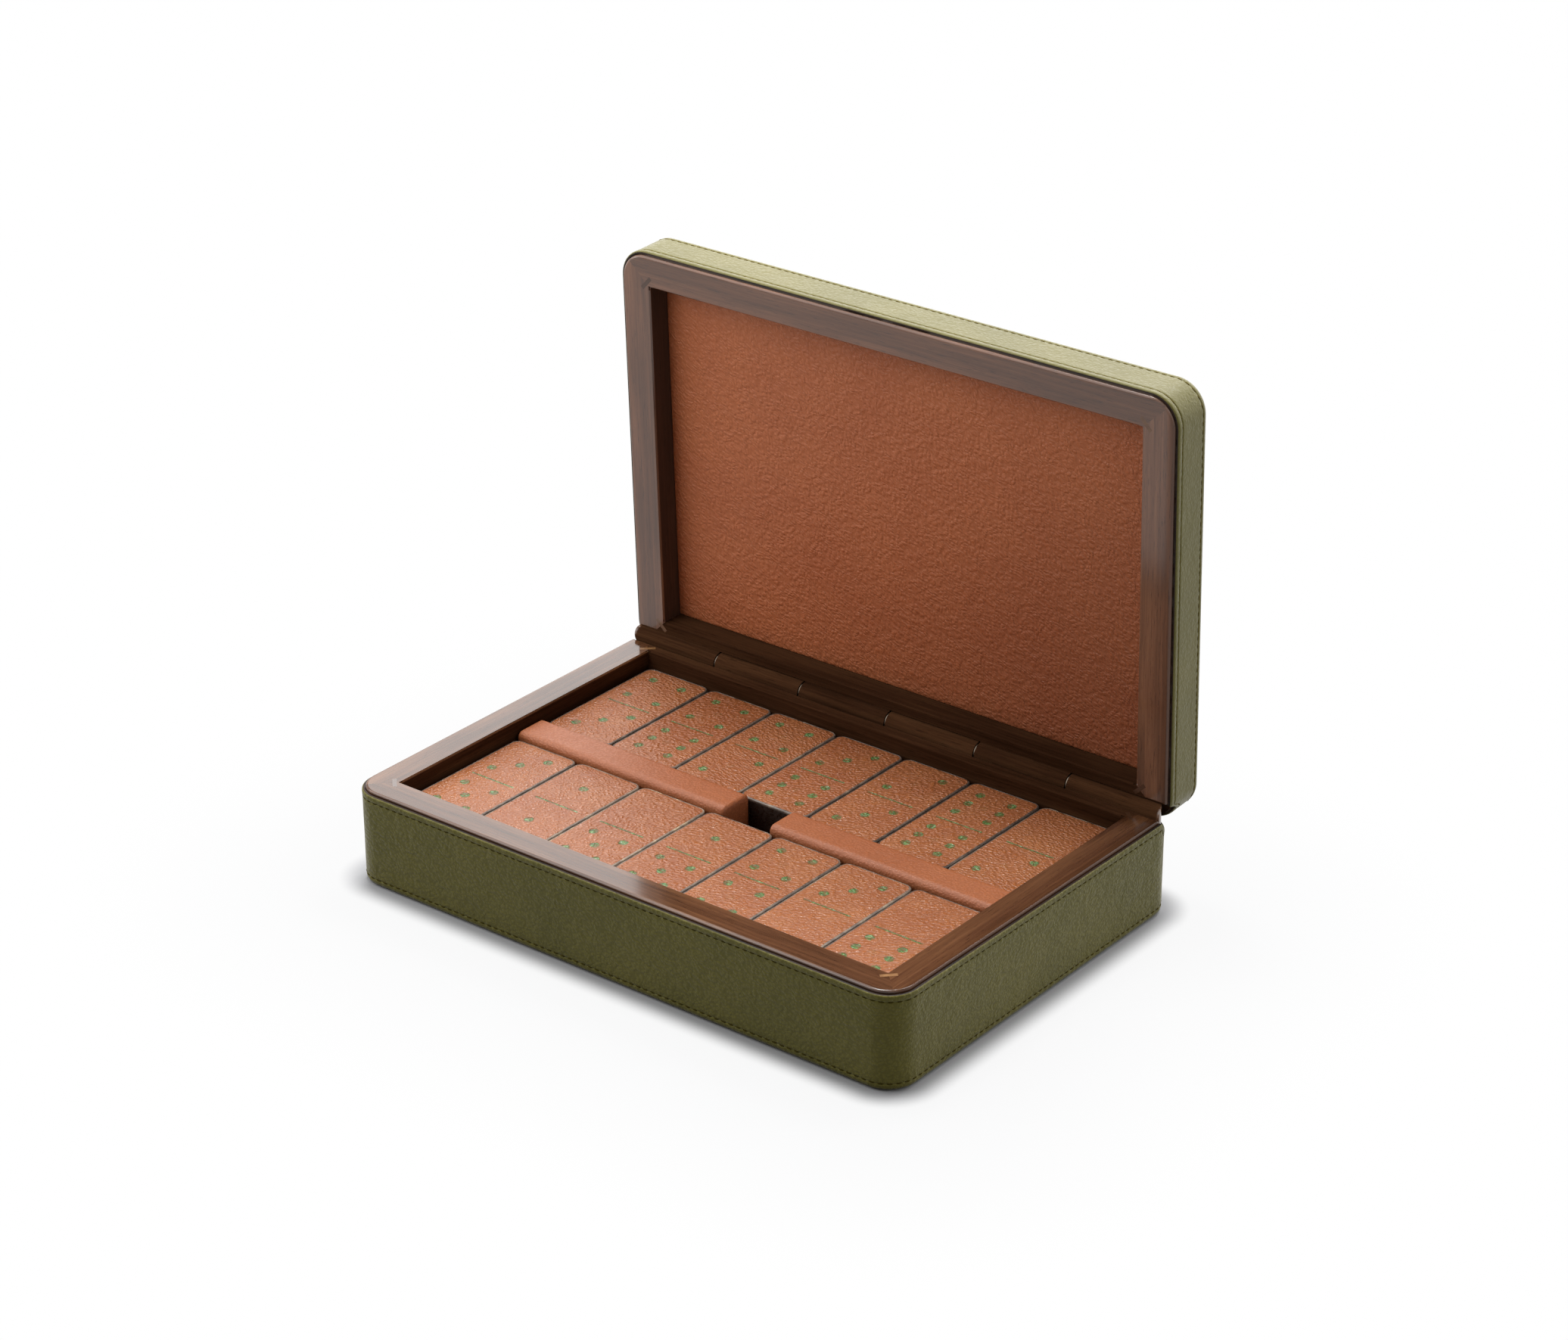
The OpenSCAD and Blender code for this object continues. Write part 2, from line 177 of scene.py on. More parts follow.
# ---------------------------------------------------------------- materials
class Nodes:
    """Short calls for building one material's nodes."""

    def __init__(self, name):
        self.mat = bpy.data.materials.new(name)
        self.mat.use_nodes = True
        self.tree = self.mat.node_tree
        self.tree.nodes.clear()
        self.out = self.tree.nodes.new("ShaderNodeOutputMaterial")
        self.bsdf = self.tree.nodes.new("ShaderNodeBsdfPrincipled")
        self.link(self.bsdf.outputs[0], self.out.inputs[0])

    def link(self, a, b):
        self.tree.links.new(a, b)

    def put(self, socket, value):
        if isinstance(value, bpy.types.NodeSocket):
            self.link(value, socket)
        elif value is not None:
            socket.default_value = value

    def shader(self, **values):
        for key, value in values.items():
            self.put(self.bsdf.inputs[key.replace("_", " ")], value)
        return self.mat

    def object_coord(self):
        return self.tree.nodes.new("ShaderNodeTexCoord").outputs["Object"]

    def attribute(self, name):
        n = self.tree.nodes.new("ShaderNodeAttribute")
        n.attribute_name = name
        return n.outputs["Vector"]

    def mapping(self, vec, scale=(1, 1, 1), rotation=(0, 0, 0), location=(0, 0, 0)):
        n = self.tree.nodes.new("ShaderNodeMapping")
        self.put(n.inputs["Vector"], vec)
        n.inputs["Scale"].default_value = scale
        n.inputs["Rotation"].default_value = rotation
        n.inputs["Location"].default_value = location
        return n.outputs[0]

    def drawn_out(self, vec, lengths, turn):
        """Coordinates in which a pattern is longer along the axes of a turned frame."""
        n = self.tree.nodes.new("ShaderNodeMapping")
        n.vector_type = "TEXTURE"
        self.put(n.inputs["Vector"], vec)
        n.inputs["Scale"].default_value = lengths
        n.inputs["Rotation"].default_value = turn
        return n.outputs[0]

    def separate(self, vec):
        n = self.tree.nodes.new("ShaderNodeSeparateXYZ")
        self.put(n.inputs[0], vec)
        return n.outputs

    def combine(self, x, y, z):
        n = self.tree.nodes.new("ShaderNodeCombineXYZ")
        for i, v in enumerate((x, y, z)):
            self.put(n.inputs[i], v)
        return n.outputs[0]

    def noise(self, vec, scale, detail=2.0, rough=0.5, distortion=0.0, color=False):
        n = self.tree.nodes.new("ShaderNodeTexNoise")
        self.put(n.inputs["Vector"], vec)
        n.inputs["Scale"].default_value = scale
        n.inputs["Detail"].default_value = detail
        n.inputs["Roughness"].default_value = rough
        n.inputs["Distortion"].default_value = distortion
        return n.outputs[1 if color else 0]

    def voronoi(self, vec, scale, feature="DISTANCE_TO_EDGE", randomness=1.0):
        n = self.tree.nodes.new("ShaderNodeTexVoronoi")
        n.feature = feature
        self.put(n.inputs["Vector"], vec)
        n.inputs["Scale"].default_value = scale
        n.inputs["Randomness"].default_value = randomness
        return n.outputs["Distance"]

    def math(self, op, a, b=None, c=None, clamp=False):
        n = self.tree.nodes.new("ShaderNodeMath")
        n.operation = op
        n.use_clamp = clamp
        self.put(n.inputs[0], a)
        self.put(n.inputs[1], b)
        self.put(n.inputs[2], c)
        return n.outputs[0]

    def vmath(self, op, a, b=None, scale=None):
        n = self.tree.nodes.new("ShaderNodeVectorMath")
        n.operation = op
        self.put(n.inputs[0], a)
        self.put(n.inputs[1], b)
        if scale is not None:
            n.inputs["Scale"].default_value = scale
        return n.outputs["Value" if op in ("LENGTH", "DOT_PRODUCT") else "Vector"]

    def span(self, x, lo, hi, to_lo=0.0, to_hi=1.0):
        n = self.tree.nodes.new("ShaderNodeMapRange")
        n.interpolation_type = "SMOOTHSTEP"
        self.put(n.inputs[0], x)
        for i, v in enumerate((lo, hi, to_lo, to_hi)):
            n.inputs[i + 1].default_value = v
        return n.outputs[0]

    def ramp(self, fac, *stops):
        n = self.tree.nodes.new("ShaderNodeValToRGB")
        self.put(n.inputs[0], fac)
        ramp = n.color_ramp
        while len(ramp.elements) < len(stops):
            ramp.elements.new(0.5)
        for e, (pos, hexa) in zip(ramp.elements, stops):
            e.position = pos
            e.color = colour(hexa)
        return n.outputs[0]

    def mix(self, fac, a, b, blend="MIX"):
        n = self.tree.nodes.new("ShaderNodeMix")
        n.data_type = "RGBA"
        n.blend_type = blend
        self.put(n.inputs[0], fac)
        self.put(n.inputs[6], a)
        self.put(n.inputs[7], b)
        return n.outputs[2]

    def bump(self, height, distance, strength=1.0, normal=None):
        n = self.tree.nodes.new("ShaderNodeBump")
        n.inputs["Strength"].default_value = strength
        n.inputs["Distance"].default_value = distance
        self.put(n.inputs["Height"], height)
        self.put(n.inputs["Normal"], normal)
        return n.outputs[0]


def colour(hexa):
    """A colour written as in a paint program, as the shader's linear values."""
    rgb = [int(hexa[i:i + 2], 16) / 255 for i in (1, 3, 5)]
    return [c / 12.92 if c <= 0.04045 else ((c + 0.055) / 1.055) ** 2.4 for c in rgb] + [1.0]


def closed_coord(n, lid):
    """Object coordinates, turned back to the closed lid's for a lid piece."""
    co = n.object_coord()
    if not lid:
        return co
    turn = math.radians(LID_OPEN)
    hinge = Vector((0, HINGE_Y * MM, BASE_H * MM))
    shift = hinge - Matrix.Rotation(turn, 3, "X") @ hinge
    return n.mapping(co, rotation=(turn, 0, 0), location=shift)


def walnut(name, axis, lid=False, dark=False, gloss_and_painted_light=0.0):
    """Lacquered walnut with its grain along an axis; bare below the lip and on the barrels, and
    darkened there by painted shade.
    """
    n = Nodes(name)
    co = closed_coord(n, lid)
    x, y, z = n.separate(co)
    along, across = (x, y) if axis == "x" else (y, x)

    def grain(a, c):
        return n.combine(n.math("MULTIPLY", along, a), n.math("MULTIPLY", across, c),
                         n.math("MULTIPLY", z, c))

    warp = n.noise(grain(14, 60), 1, 2, 0.5)
    figure = n.math("ADD", n.math("MULTIPLY", across, 420.0),
                    n.math("ADD", n.math("MULTIPLY", z, 260.0), n.math("MULTIPLY", warp, 9.0)))
    rings = n.math("MULTIPLY_ADD", n.math("SINE", figure), 0.5, 0.5)
    streak = n.noise(grain(26, 900), 1, 4, 0.62)
    pores = n.noise(grain(190, 3600), 1, 3, 0.6)
    tone = n.math("ADD", n.math("MULTIPLY", rings, 0.22), n.math("MULTIPLY", streak, 0.78))
    # the glossy lid rails take lighter tones than the base's: a lighter copy of the same walnut,
    # painted light
    tones = ("#432a1b", "#5b3b28", "#6e4933", "#805a3e") if gloss_and_painted_light else \
        ("#331f10", "#4e3220", "#61412a", "#755036")
    base = n.ramp(tone, *zip((0.22, 0.45, 0.62, 0.82), tones))
    pore = n.span(pores, 0.30, 0.44)
    base = n.mix(n.span(pore, 0, 1, 0.6, 0.0), base, colour("#1d0e08"))
    lip = n.span(z, (BASE_H + 0.8) * MM, (BASE_H + 0.4) * MM) if lid else \
        n.span(z, (BASE_H - 0.8) * MM, (BASE_H - 0.4) * MM)
    bare_y = HINGE_Y - BARREL_REACH[axis]
    barrel = n.span(y, (bare_y - 0.3) * MM, (bare_y + 0.3) * MM)
    ends = n.span(n.math("ABSOLUTE", x), (BOX_W / 2 - 1.4) * MM, (BOX_W / 2 - 0.6) * MM)
    lacquer = n.math("MAXIMUM", n.math("MULTIPLY", lip, n.math("SUBTRACT", 1.0, barrel)),
                     n.math("MULTIPLY", ends, barrel))
    # painted shade: the bare wood of the well's inner walls, the lip's foot and the barrels is
    # darkened
    inside = n.mix(0.6 if lid else 0.5, base, colour("#1c0f09"))
    base = n.mix(lacquer, inside, base)
    if dark:
        base = n.mix(0.5, base, colour("#1a0d07"))
    elif axis == "y" and not lid:
        # the right rail is painted darker, a painted shade on the box's right side
        base = n.mix(n.span(x, 0.0, 0.01, 0.0, 0.3), base, colour("#32190c"))
    height = n.math("ADD", pore, n.math("MULTIPLY", streak, 0.5))
    rough = n.span(lacquer, 0, 1, 0.7, 0.4)
    # the lip is worn dull along the box's right side, and round the lid
    rim = n.span(x, 0.097, 0.1)
    if lid:
        outer = n.math("MAXIMUM", n.math("SUBTRACT", n.math("ABSOLUTE", x), BOX_W / 2 * MM),
                       n.math("SUBTRACT", n.math("MULTIPLY", y, -1.0), BOX_D / 2 * MM))
        rim = n.math("MAXIMUM", rim, n.span(outer, -0.0011, -0.0005))
    shiny = n.math("MAXIMUM", n.span(rim, 0, 1, 0.9, 0.3), n.math("MULTIPLY", barrel, 0.9))
    return n.shader(Base_Color=base, Roughness=rough, IOR=1.4, Specular_IOR_Level=gloss_and_painted_light,
                    Coat_Weight=n.math("MULTIPLY", lacquer, shiny), Coat_Roughness=0.12,
                    Coat_IOR=1.5, Normal=n.bump(height, 0.000012, 0.6))


def maple(name, dark, light, lid=False):
    """Light wood of the splines, stained dark at two of the four corners."""
    n = Nodes(name)
    co = closed_coord(n, lid)
    fibre = n.noise(n.mapping(co, (500, 500, 120)), 1, 3, 0.6)
    base = n.ramp(fibre, (0.3, dark), (0.7, light))
    x, y, _ = n.separate(co)
    base = n.mix(n.math("GREATER_THAN", n.math("MULTIPLY", x, y), 0.0), base, colour("#40291a"))
    return n.shader(Base_Color=base, Roughness=0.4, IOR=1.4, Specular_IOR_Level=0.2,
                    Coat_Weight=0.9, Coat_Roughness=0.12, Coat_IOR=1.5,
                    Normal=n.bump(fibre, 0.00001, 0.5))


def pebbled(n, co, size, lengths, turn, drift=0.3):
    """Soft leather pebbles about size metres wide, drawn out along an axis
    that drifts: cells of a warped pattern, high in the middle, with valleys."""
    half = (0.5, 0.5, 0.5)
    slow = n.vmath("SUBTRACT", n.noise(co, 0.12 / size, 1, 0.5, color=True), half)
    quick = n.vmath("SUBTRACT", n.noise(co, 0.8 / size, 1, 0.5, color=True), half)
    shifted = n.vmath("ADD", co, n.vmath("ADD", n.vmath("SCALE", slow, scale=drift * 8 * size),
                                         n.vmath("SCALE", quick, scale=0.8 * size)))
    cell = n.voronoi(n.drawn_out(shifted, lengths, turn), 1 / size, "F1")
    return n.span(cell, 0.8, 0.1)


def olive(name, tones, sheen, depth, valley, lid=False):
    """Olive calf leather: fine pebbles under long slanting wrinkles."""
    n = Nodes(name)
    co = closed_coord(n, lid)
    slant = (0, 0, -0.675)
    pebble = pebbled(n, co, 0.0008, (2.2, 1, 1), slant)
    wrinkle = n.noise(n.drawn_out(co, (3.2, 1, 1), slant), 620, 2, 0.5, 0.6)
    wide = n.noise(n.drawn_out(co, (2.6, 1, 1), slant), 160, 2, 0.5)
    cloud = n.noise(co, 30, 4, 0.55)
    base = n.ramp(cloud, *zip((0.3, 0.5, 0.72), tones))
    # painted shade: the pebbles' valleys are darkened
    base = n.mix(n.span(pebble, 0.1, 0.8, valley, 0.0), base, colour("#2a270c"))
    fine = n.noise(co, 2600, 2, 0.6)
    height = n.math("ADD", n.math("MULTIPLY", pebble, 0.4),
                    n.math("ADD", n.math("MULTIPLY", wrinkle, 1.5),
                           n.math("ADD", n.math("MULTIPLY", wide, 1.7),
                                  n.math("MULTIPLY", fine, 0.1))))
    return n.shader(Base_Color=base, Roughness=n.span(pebble, 0.1, 0.9, 0.54, 0.42), IOR=1.4,
                    Specular_IOR_Level=0.27, Sheen_Weight=sheen, Sheen_Roughness=0.45,
                    Normal=n.bump(height, depth, 1.0))


def plain_leather(name, dark, mid, light, lid=False, size=0.0009, depth=0.0001, rough=0.5,
                  waves=0.8, lengths=(1.6, 1, 1), turn=(0, 0.3, 0.6), drift=0.3, painted_shade=0.0,
                  valley=0.3):
    """Smooth dyed leather with a fine grain, with painted shade in its valleys and an optional
    painted shade that darkens it towards +x and +y.
    """
    n = Nodes(name)
    co = closed_coord(n, lid)
    pebble = pebbled(n, co, size, lengths, turn, drift)
    wave = n.noise(n.drawn_out(co, lengths, turn), 0.35 / size, 2, 0.5)
    cloud = n.noise(co, 26, 4, 0.6)
    base = n.ramp(cloud, (0.28, dark), (0.5, mid), (0.74, light))
    # painted shade: darker towards +x and +y, the lid pad's corner by the hinge
    if painted_shade:
        x, y, _ = n.separate(co)
        corner = n.math("ADD", n.math("MULTIPLY", x, 0.7), y)
        base = n.mix(n.span(corner, -0.02, 0.11, 0.0, painted_shade), base, colour("#5a2c18"))
    # painted shade: the pebbles' valleys are darkened
    base = n.mix(n.span(pebble, 0.1, 0.8, valley, 0.0), base,
                 n.mix(0.55, base, colour("#140805")))
    height = n.math("ADD", n.math("MULTIPLY", pebble, 0.5),
                    n.math("ADD", n.math("MULTIPLY", wave, waves),
                           n.math("MULTIPLY", n.noise(co, 2.6 / size, 2), 0.16)))
    return n.shader(Base_Color=base, Roughness=n.span(pebble, 0.1, 0.9, rough + 0.08, rough - 0.04),
                    IOR=1.4, Normal=n.bump(height, depth, 1.0))


def pip_mask(n, x, y, halves, ragged):
    """1 inside each pip that a tile's two numbers call for, and 0 elsewhere."""
    def step(value, level):
        return n.math("GREATER_THAN", value, level)

    rear = step(y, 0.0)
    count = n.math("ADD", n.math("MULTIPLY", halves[0], rear),
                   n.math("MULTIPLY", halves[1], n.math("SUBTRACT", 1.0, rear)))
    middle = n.math("MULTIPLY_ADD", rear, 2 * (PIP_FIRST + PIP_STEP) * MM,
                    -(PIP_FIRST + PIP_STEP) * MM)
    from_middle = n.math("SUBTRACT", y, middle)

    def site(value, pitch):
        index = n.math("MAXIMUM", n.math("MINIMUM", n.math("DIVIDE", value, pitch * MM), 1.0), -1.0)
        index = n.math("ROUND", index)
        return index, n.math("MULTIPLY_ADD", index, -pitch * MM, value)

    column, dx = site(x, PIP_COLUMN)
    row, dy = site(from_middle, PIP_STEP)
    product = n.math("MULTIPLY", column, row)
    wide = n.math("SUBTRACT", n.math("ABSOLUTE", column), n.math("ABSOLUTE", row))
    centre = n.math("SUBTRACT", 1.0, n.math("MAXIMUM", n.math("ABSOLUTE", column),
                                            n.math("ABSOLUTE", row)))
    present = n.math("MULTIPLY", centre, n.math("MODULO", count, 2.0))
    for where, least in ((step(product, 0.5), 1.5), (n.math("LESS_THAN", product, -0.5), 3.5),
                         (step(wide, 0.5), 5.5)):
        present = n.math("MAXIMUM", present, n.math("MULTIPLY", where, step(count, least)))
    reach = n.math("ADD", n.vmath("LENGTH", n.combine(dx, dy, 0.0)), ragged)
    dot = n.span(reach, PIP_D * MM / 2 + 0.00006, PIP_D * MM / 2 - 0.00014)
    return n.math("MULTIPLY", dot, present)


def tile_skin(name):
    """Grained tile leather, its painted green marks and its edge paint, with painted shade in the
    grain's valleys and on the sides below the rim, and a painted highlight on the green.

    The attribute "skin" holds a point of the tile from its own centre, in
    metres, "grain" the same point turned and moved to the tile's own piece of
    leather, "halves" its two numbers, and "tone" its shifts of colour, on top
    and at the edge."""
    n = Nodes(name)
    skin, co, halves, tone = (n.attribute(k) for k in ("skin", "grain", "halves", "tone"))
    shift, edge_tone, _ = n.separate(tone)
    turn = (0, 0, 0.35)
    pebble = pebbled(n, co, 0.00085, (1.55, 1, 1), turn, 0.4)
    wave = n.noise(n.drawn_out(co, (1.6, 1, 1), turn), 420, 1, 0.5)
    fine = n.noise(co, 2800, 2, 0.6)
    grain = n.math("ADD", n.math("MULTIPLY", pebble, 0.8),
                   n.math("ADD", n.math("MULTIPLY", wave, 0.6), n.math("MULTIPLY", fine, 0.12)))
    cloud = n.math("ADD", n.noise(co, 60, 4, 0.6), shift)
    base = n.ramp(cloud, (0.25, "#8e502b"), (0.5, "#965932"), (0.78, "#9f633a"))
    # painted shade: the pebbles' valleys are darkened
    base = n.mix(n.span(pebble, 0.1, 0.6, 0.34, 0.0), base, colour("#5a2d14"))
    x, y, z = n.separate(skin)
    speckle = n.noise(co, 1500, 2, 0.6)
    ragged = n.math("MULTIPLY", n.math("SUBTRACT", speckle, 0.38), 0.0014)
    dot = pip_mask(n, x, y, n.separate(halves), ragged)
    line_y = n.span(n.math("ABSOLUTE", n.math("MULTIPLY_ADD", ragged, 0.2, y)), 0.00042, 0.0002)
    line_x = n.span(n.math("ABSOLUTE", x), LINE_L * MM / 2, LINE_L * MM / 2 - 0.0002)
    mark = n.math("MAXIMUM", dot, n.math("MULTIPLY", line_y, line_x))
    worn = n.span(n.math("ADD", n.math("MULTIPLY", pebble, 0.5), speckle), 0.42, 0.8, 0.5, 1.0)
    # the green varies at random and is lighter on the pebble tops: a painted highlight
    green = n.ramp(n.math("ADD", n.math("MULTIPLY", pebble, 0.3),
                          n.math("MULTIPLY", n.noise(co, 900, 3, 0.6), 0.7)),
                   (0.32, "#233f18"), (0.5, "#3b612c"), (0.7, "#74925c"))
    base = n.mix(n.math("MULTIPLY", mark, worn), base, green)
    side_x = n.math("SUBTRACT", TILE_W * MM / 2, n.math("ABSOLUTE", x))
    side_y = n.math("SUBTRACT", TILE_L * MM / 2, n.math("ABSOLUTE", y))
    corner = n.combine(n.math("MAXIMUM", n.math("SUBTRACT", TILE_R * MM, side_x), 0.0),
                       n.math("MAXIMUM", n.math("SUBTRACT", TILE_R * MM, side_y), 0.0), 0.0)
    rim = n.math("MULTIPLY_ADD", n.math("SUBTRACT", n.noise(co, 900, 2), 0.5), 0.0002,
                 n.math("SUBTRACT", TILE_R * MM, n.vmath("LENGTH", corner)))
    painted = n.span(rim, 0.00072, 0.00056)
    edge = n.ramp(n.math("ADD", n.noise(co, 300, 3), edge_tone), (0.3, "#41372f"),
                  (0.6, "#64574d"), (0.85, "#8b7b6a"), (1.0, "#c4b08e"))
    # below the rim the sides turn near-black: painted shade in the gaps between tiles
    edge = n.mix(n.span(z, (TILE_T - 1.2) * MM, (TILE_T - 0.6) * MM), colour("#241812"), edge)
    base = n.mix(painted, base, edge)
    height = n.math("SUBTRACT", grain, n.math("MULTIPLY", mark, 0.6))
    height = n.mix(painted, height, n.math("MULTIPLY", fine, 0.2))
    return n.shader(Base_Color=base, Roughness=n.span(pebble, 0.1, 0.9, 0.48, 0.24), IOR=1.5,
                    Specular_IOR_Level=0.42,
                    Normal=n.bump(height, 0.00034, 1.0))


def edge_paint(name, tone):
    """Dark paint on the leather's cut edge."""
    n = Nodes(name)
    co = n.object_coord()
    layers = n.noise(n.mapping(co, (60, 60, 900)), 1, 3)
    return n.shader(Base_Color=n.mix(n.span(layers, 0.35, 0.65), colour(tone), colour("#2a1c14")),
                    Roughness=0.5, Specular_IOR_Level=0.15,
                    Normal=n.bump(layers, 0.00003, 0.6))


def thread(name, tone):
    """Twisted waxed thread."""
    n = Nodes(name)
    co = n.object_coord()
    twist = n.math("SINE", n.vmath("DOT_PRODUCT", co, (9000.0, 7000.0, 11000.0)))
    fuzz = n.noise(co, 4000, 2)
    base = n.mix(n.math("MULTIPLY", fuzz, 0.6), colour(tone), colour("#1c1808"))
    return n.shader(Base_Color=base, Roughness=0.62, Specular_IOR_Level=0.0,
                    Normal=n.bump(twist, 0.00004, 0.6))


def metal(name):
    """Turned steel of the pin and the washers."""
    n = Nodes(name)
    co = n.object_coord()
    turned = n.noise(n.mapping(co, (6000, 300, 300)), 1, 2)
    return n.shader(Base_Color=n.mix(turned, colour("#453d35"), colour("#5f564c")), Metallic=1.0,
                    Roughness=n.span(turned, 0.3, 0.7, 0.24, 0.38),
                    Normal=n.bump(turned, 0.00001, 0.5))


# ---------------------------------------------------------------- camera
FOCAL_PX, PHOTO_W = 5368.594, 2072
AZIMUTH, ELEVATION, ROLL = 38.428, 25.98, -0.218
# The pivot in millimetres, and where it lies as the camera sees it.
PIVOT, PIVOT_SEEN = (0, 0, 40), (-7.08, 29.932, 1193.252)
SENSOR_W = 36.0


def solved_camera():
    """The camera that the photograph was taken from, solved from its edges."""
    az, el, roll = (math.radians(a) for a in (AZIMUTH, ELEVATION, ROLL))
    right = Vector((math.cos(az), math.sin(az), 0))
    ahead = Vector((-math.sin(az) * math.cos(el), math.cos(az) * math.cos(el), -math.sin(el)))
    up = right.cross(ahead)
    spin = Matrix(((math.cos(roll), -math.sin(roll), 0), (math.sin(roll), math.cos(roll), 0),
                   (0, 0, 1)))
    rows = spin @ Matrix((right, -up, ahead))
    place = Vector(PIVOT) - rows.transposed() @ Vector(PIVOT_SEEN)
    cam = bpy.data.objects.new("camera", bpy.data.cameras.new("camera"))
    bpy.context.scene.collection.objects.link(cam)
    turn = Matrix((rows[0], -rows[1], -rows[2])).transposed()
    cam.matrix_world = Matrix.Translation(place * MM) @ turn.to_4x4()
    cam.data.sensor_fit = "HORIZONTAL"
    cam.data.sensor_width = SENSOR_W
    cam.data.lens = FOCAL_PX / PHOTO_W * SENSOR_W
    cam.data.clip_start, cam.data.clip_end = 0.05, 20
    bpy.context.scene.camera = cam


# ---------------------------------------------------------------- leather shells
# Distances in millimetres: of the seams and the mesh rows from the shell's
# open edge and its far corner, and of the panel's rows inside the outline.
SHELL_SEAM, SHELL_FAR_SEAM = 2.0, 2.4
SHELL_INSIDE, PANEL_T = 0.03, 1.16
MID_ROW_STEP = 1.1
EDGE_ROWS = [0.0, 0.04, 0.1, 0.2, 0.33, 0.5, 0.8, 1.1, 1.4, 1.62, 1.78, 1.9, 2.0, 2.1, 2.22, 2.38,
             2.6, 2.9, 3.3, 3.7, 4.1]
FAR_ROWS = [4.1, 3.6, 3.1, 2.82, 2.64, 2.5, 2.4, 2.3, 2.16, 1.98, 1.8, 1.5, 1.2, 0.92, 0.66, 0.42,
            0.22, 0.08, 0.0]
PANEL_ROWS = [-1.0, -1.5, -2.2, -3.2, -4.6, -6.2, -8.0]


def notch_depth(y, depth):
    """How far the shell's edge steps back at y; the step has a round corner."""
    return depth * smooth((y - (NOTCH_Y - 0.9)) / 1.8)


def shell_offset(edge, far):
    """How far a shell's outside stands off the wood, by the distance from
    its open edge and from its far corner."""
    o = 1.06
    if edge < 0.5:
        o -= 0.5 - math.sqrt(0.25 - (0.5 - edge) ** 2)
    if edge < SHELL_SEAM:
        o += 0.1 * math.sin(math.pi * edge / SHELL_SEAM)
    o -= 0.26 * bump_at(edge, SHELL_SEAM, 0.26)
    if far < 1.8:
        o -= 1.8 - math.sqrt(max(0.0, 1.8 ** 2 - (1.8 - far) ** 2))
    o -= 0.2 * bump_at(far, SHELL_FAR_SEAM, 0.26)
    return o


def shell_point(p, h, o, side):
    x, y = at(p, CORNER_R, o)
    return (x, y, BASE_H + side * (LIP_H + h))


def leather_shell(name, body, side, height, notch, mats, replaces):
    """A leather covering with its hem, seams and far panel, as one closed skin.
    side is -1 below the wooden lip, for the base, and 1 above it, for the lid."""
    path = round_path(BOX_W, BOX_D, CORNER_R, 1.15, 14)
    n = len(path)
    edges = [notch_depth(at(p, CORNER_R, 1.2)[1], notch - LIP_H) for p in path]
    verts = []
    near_edge, near_far = EDGE_ROWS[-1], FAR_ROWS[0]
    mid = max(2, round((height - near_edge - near_far) / MID_ROW_STEP))
    rows = [("edge", d) for d in EDGE_ROWS] + [("mid", (i + 1) / mid) for i in range(mid - 1)] + \
        [("far", d) for d in FAR_ROWS]
    for p, e in zip(path, edges):
        verts.append(shell_point(p, e, SHELL_INSIDE, side))
    for kind, d in rows:
        for p, e in zip(path, edges):
            if kind == "edge":
                h = e + d
            elif kind == "far":
                h = height - d
            else:
                h = (e + near_edge) * (1 - d) + (height - near_far) * d
            x, y = at(p, CORNER_R, 0)
            swell = 0.035 * noise.noise(Vector((x * 0.11, y * 0.11, h * 0.16 + 40 * side)))
            fade = smooth((h - e - 2.4) / 2) * smooth((height - h - 2.6) / 2)
            o = shell_offset(h - e, height - h) + swell * fade
            if kind == "edge" and d == 0.0:
                o = 0.58
            verts.append(shell_point(p, h, o, side))
    for o in PANEL_ROWS:
        for p in path:
            verts.append(shell_point(p, height, o, side))
    n_rings = 1 + len(rows) + len(PANEL_ROWS)
    faces = rings_to_faces(n_rings, n)
    last = (n_rings - 1) * n
    faces.append(tuple(range(last, last + n)))
    first_inner = len(verts)
    for p in path:
        verts.append(shell_point(p, height - PANEL_T, SHELL_INSIDE, side))
    faces += [(b, a, c, d) for a, b, d, c in
              ((j, (j + 1) % n, first_inner + j, first_inner + (j + 1) % n) for j in range(n))]
    faces.append(tuple(reversed(range(first_inner, first_inner + n))))
    if side > 0:
        faces = [tuple(reversed(f)) for f in faces]
    face_mats = [1 if i < 2 * n else 0 for i in range(len(faces))]
    lid = side > 0
    obj = piece(name, verts, [tuple(reversed(f)) for f in faces], mats, body,
                replaces, face_mats, lid)
    for k, (line, far) in enumerate(((SHELL_SEAM, False), (SHELL_FAR_SEAM, True))):
        curve = []
        for p, e in zip(path, edges):
            h = height - line if far else e + line
            o = shell_offset(h - e, height - h)
            q = Vector(shell_point(p, h, o, side))
            curve.append((q, Vector((p[1][0], p[1][1], 0))))
        stitches(f"{name}_stitches_{k + 1}", curve, body, lid)
    return obj


STITCH_SEED = 11
# Along a stitch: the place from -1 to 1, the thickness, and the height in mm
STITCH_SHAPE = [(-1.0, 0.3, -0.26), (-0.8, 0.85, -0.02), (-0.4, 1.0, 0.1), (0.0, 1.0, 0.13),
                (0.4, 1.0, 0.1), (0.8, 0.85, -0.02), (1.0, 0.3, -0.26)]


